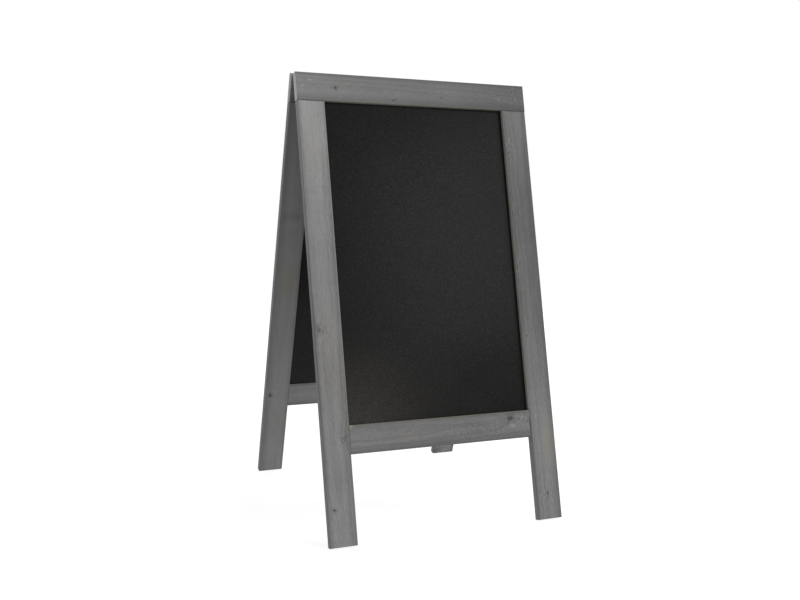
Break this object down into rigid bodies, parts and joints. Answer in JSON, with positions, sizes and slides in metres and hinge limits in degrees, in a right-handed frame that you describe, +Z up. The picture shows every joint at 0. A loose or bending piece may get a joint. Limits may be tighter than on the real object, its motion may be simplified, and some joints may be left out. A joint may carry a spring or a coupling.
{
  "type": "chalkboard sidewalk sign",
  "caption": "Free-standing folding A-frame pavement sign: grey-stained wooden lath frames hinged at the ridge, each holding a black chalkboard panel in grooves.",
  "frame": {"origin": "on the floor, midway between the feet of both frames and both sides", "axes": "+Z up, -Y towards the front writing board, +X to the right as seen from the front"},
  "size_m": [0.64, 0.6546, 1.1203],
  "materials": {
    "stained_wood": "planed softwood with a thin grey stain, matte",
    "chalkboard": "hardboard with black chalkboard lacquer, dull satin",
    "dowel_beech": "plain beech",
    "zinc_steel": "zinc-plated"
  },
  "bodies": {
    "front_frame": {"front_top_rail": "stained_wood", "front_left_leg": "stained_wood", "front_right_leg": "stained_wood", "front_bottom_rail": "stained_wood", "front_chalkboard": "chalkboard", "front_top_dowels": "dowel_beech", "front_bottom_dowels": "dowel_beech", "left_hinge_front_leaf": "zinc_steel", "right_hinge_front_leaf": "zinc_steel", "left_hinge_pin": "zinc_steel", "right_hinge_pin": "zinc_steel", "front_hinge_screws": "zinc_steel"},
    "rear_frame": {"rear_top_rail": "stained_wood", "rear_left_leg": "stained_wood", "rear_right_leg": "stained_wood", "rear_bottom_rail": "stained_wood", "rear_chalkboard": "chalkboard", "rear_top_dowels": "dowel_beech", "rear_bottom_dowels": "dowel_beech", "left_hinge_rear_leaf": "zinc_steel", "right_hinge_rear_leaf": "zinc_steel", "rear_hinge_screws": "zinc_steel"}
  },
  "joints": [
    {"name": "fold", "type": "hinge", "parent": "front_frame", "child": "rear_frame", "pos_m": [0, 0, 1.11576], "axis": [-1, 0, 0], "range_deg": [0, 30.6]}
  ]
}
